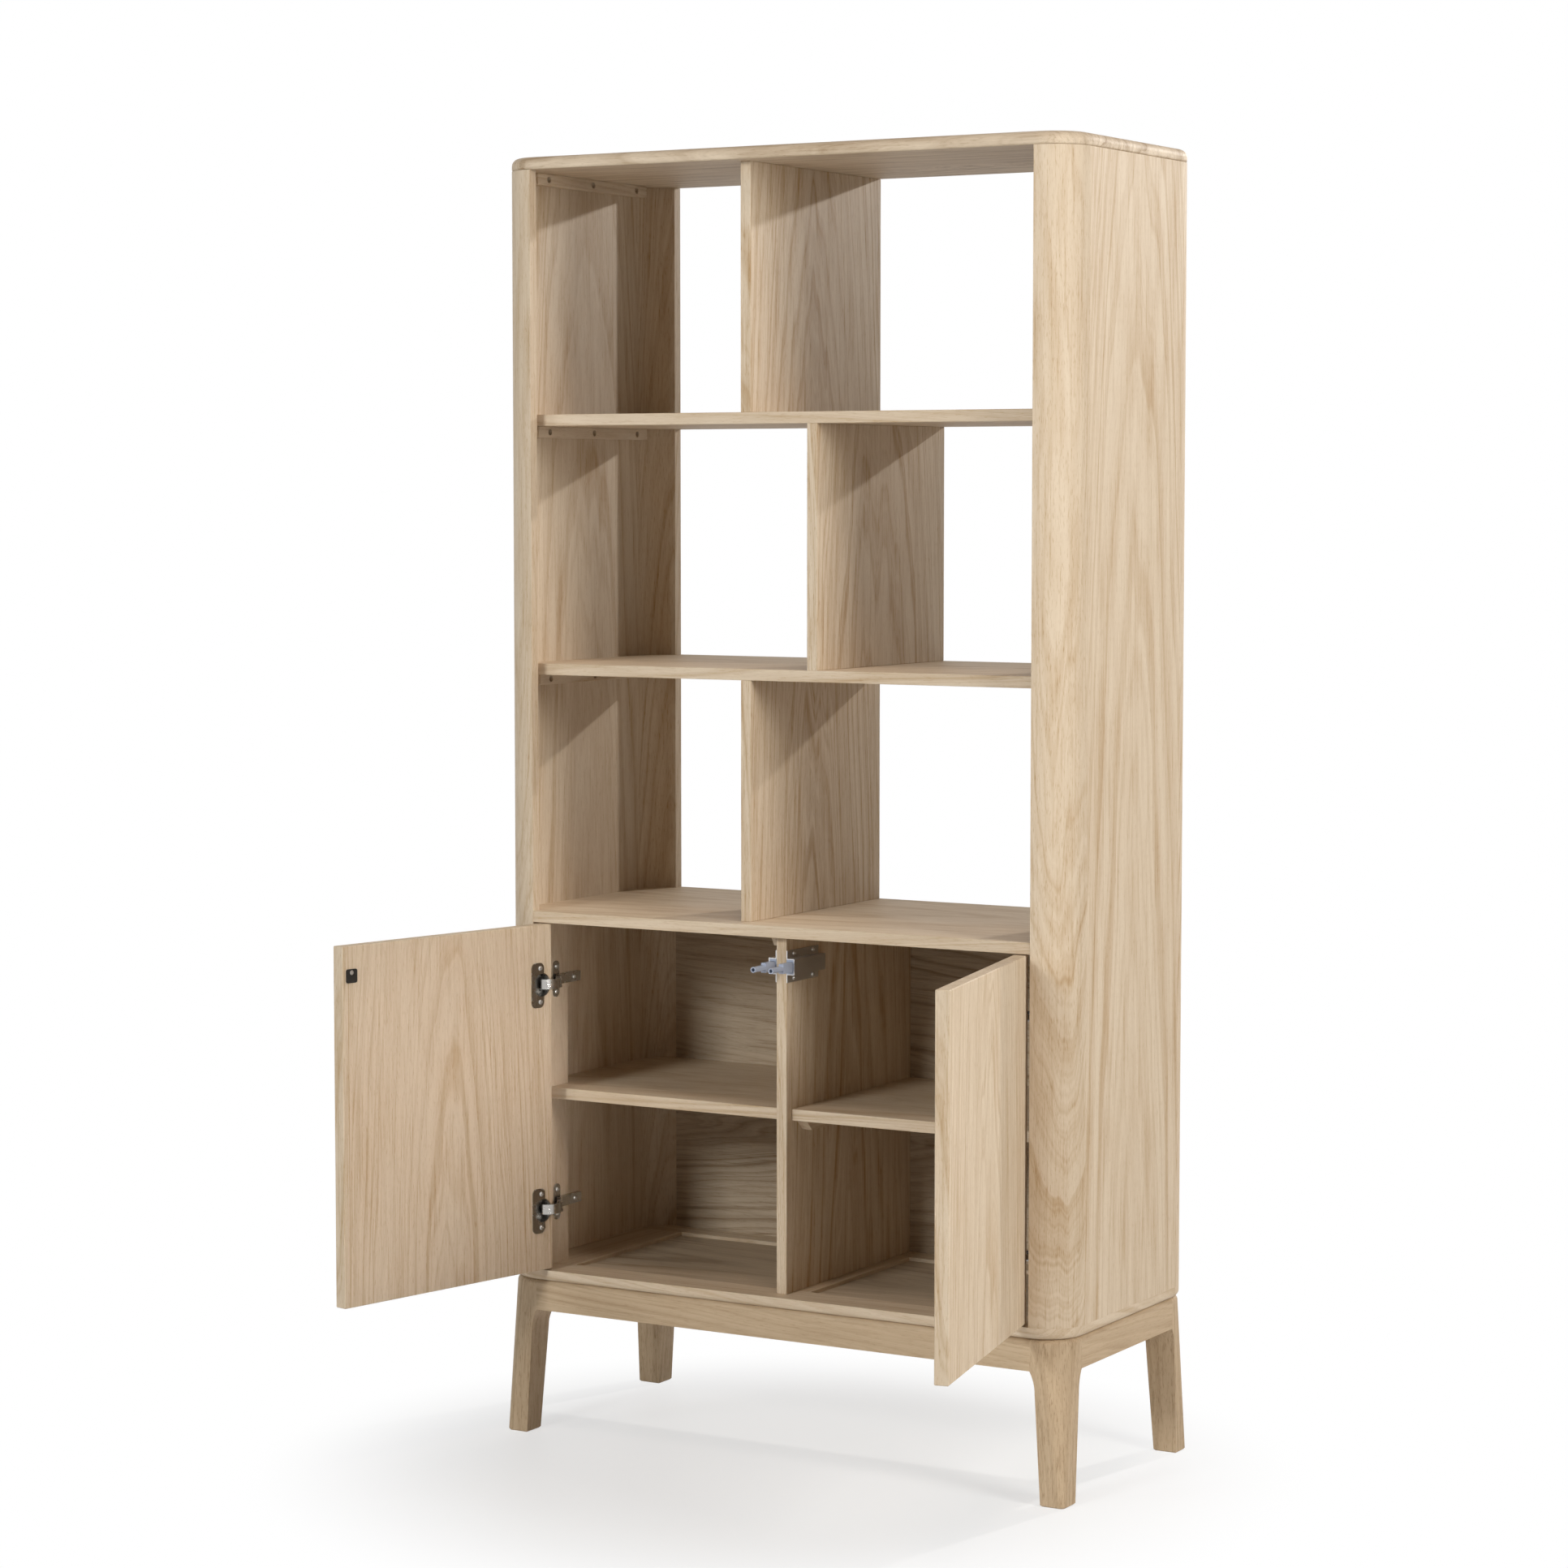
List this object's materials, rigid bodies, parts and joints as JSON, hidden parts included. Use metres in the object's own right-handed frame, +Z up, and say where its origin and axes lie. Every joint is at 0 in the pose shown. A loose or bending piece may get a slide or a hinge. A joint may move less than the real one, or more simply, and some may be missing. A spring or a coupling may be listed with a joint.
{
  "type": "bookcase with cabinet doors",
  "caption": "Tall open bookcase in pale oak with round corner posts and staggered dividers, over a cabinet with hinged doors and push latches, on a low base with tapered legs.",
  "frame": {"origin": "on the floor, under the middle of the overall box as it stands with both doors open", "axes": "+Z up, -Y towards the front where the doors open, +X to the right seen from the front"},
  "size_m": [0.9394, 0.7728, 1.815],
  "materials": {
    "bracket_steel": "zinc plated sheet",
    "hinge_steel": "nickel plated",
    "latch_plastic": "moulded",
    "oak_back": "matt lacquered oak",
    "oak_base_across": "matt lacquered oak",
    "oak_base_along": "matt lacquered oak",
    "oak_batten": "matt lacquered oak",
    "oak_divider": "matt lacquered oak",
    "oak_door": "matt lacquered oak",
    "oak_floor_across": "matt lacquered oak",
    "oak_floor_along": "matt lacquered oak",
    "oak_floor_panel": "matt lacquered oak",
    "oak_leg": "matt lacquered oak",
    "oak_post": "matt lacquered oak",
    "oak_shelf": "matt lacquered oak",
    "oak_side": "matt lacquered oak",
    "oak_strip": "matt lacquered oak",
    "oak_top": "matt lacquered oak",
    "screw_steel": "nickel plated",
    "strike_black": "black"
  },
  "bodies": {
    "case": {"back_panel": "oak_back", "base_front_rail": "oak_base_across", "base_rear_rail": "oak_base_across", "cabinet_divider": "oak_divider", "cabinet_top": "oak_shelf", "cabinet_top_cleat": "oak_batten", "case_screws": "screw_steel", "floor_front_rail": "oak_floor_across", "floor_middle_rail": "oak_floor_along", "floor_rear_rail": "oak_floor_across", "front_left_leg": "oak_leg", "front_left_post": "oak_post", "front_right_leg": "oak_leg", "front_right_post": "oak_post", "hinge_arms": "hinge_steel", "hinge_plates": "hinge_steel", "left_base_side_rail": "oak_base_along", "left_cabinet_shelf": "oak_shelf", "left_floor_panel": "oak_floor_panel", "left_floor_side_rail": "oak_floor_along", "left_hinge_strip": "oak_strip", "left_latch_bracket": "bracket_steel", "left_latch_housing": "latch_plastic", "left_shelf_cleats": "oak_batten", "left_side_panel": "oak_side", "lower_divider": "oak_divider", "lower_shelf": "oak_shelf", "lower_shelf_battens": "oak_batten", "middle_divider": "oak_divider", "rear_left_leg": "oak_leg", "rear_left_post": "oak_post", "rear_right_leg": "oak_leg", "rear_right_post": "oak_post", "right_base_side_rail": "oak_base_along", "right_cabinet_shelf": "oak_shelf", "right_floor_panel": "oak_floor_panel", "right_floor_side_rail": "oak_floor_along", "right_hinge_strip": "oak_strip", "right_latch_bracket": "bracket_steel", "right_latch_housing": "latch_plastic", "right_shelf_cleats": "oak_batten", "right_side_panel": "oak_side", "top_battens": "oak_batten", "top_board": "oak_top", "upper_divider": "oak_divider", "upper_shelf": "oak_shelf", "upper_shelf_battens": "oak_batten"},
    "left_door": {"left_door": "oak_door", "left_hinge_cups": "hinge_steel", "left_strike_plate": "strike_black", "left_door_screws": "screw_steel"},
    "right_door": {"right_door": "oak_door", "right_hinge_cups": "hinge_steel", "right_strike_plate": "strike_black", "right_door_screws": "screw_steel"},
    "left_hinge_links": {"left_hinge_links": "hinge_steel"},
    "right_hinge_links": {"right_hinge_links": "hinge_steel"},
    "left_latch_plunger": {"left_latch_plunger": "latch_plastic"},
    "right_latch_plunger": {"right_latch_plunger": "latch_plastic"}
  },
  "joints": [
    {"name": "left_door_hinge", "type": "hinge", "parent": "case", "child": "left_door", "pos_m": [-0.385, -0.00856, 0.49], "axis": [0, 0, 1], "range_deg": [0, 102.5]},
    {"name": "left_link_pivot", "type": "hinge", "parent": "case", "child": "left_hinge_links", "pos_m": [-0.368, 0.01344, 0.49], "axis": [0, 0, 1], "range_deg": [0, 102.5]},
    {"name": "left_plunger_slide", "type": "slide", "parent": "case", "child": "left_latch_plunger", "axis": [0, 1, 0], "range_m": [0, 0.052]},
    {"name": "right_door_hinge", "type": "hinge", "parent": "case", "child": "right_door", "pos_m": [0.385, -0.00856, 0.49], "axis": [0, 0, -1], "range_deg": [0, 102.5]},
    {"name": "right_link_pivot", "type": "hinge", "parent": "case", "child": "right_hinge_links", "pos_m": [0.368, 0.01344, 0.49], "axis": [0, 0, -1], "range_deg": [0, 102.5]},
    {"name": "right_plunger_slide", "type": "slide", "parent": "case", "child": "right_latch_plunger", "axis": [0, 1, 0], "range_m": [0, 0.052]}
  ],
  "couplings": [
    {"joint": "left_link_pivot", "follows": "left_door_hinge", "ratio": 1},
    {"joint": "left_plunger_slide", "follows": "left_door_hinge", "m_per_rad": 0.02906},
    {"joint": "right_link_pivot", "follows": "right_door_hinge", "ratio": 1},
    {"joint": "right_plunger_slide", "follows": "right_door_hinge", "m_per_rad": 0.02906}
  ]
}
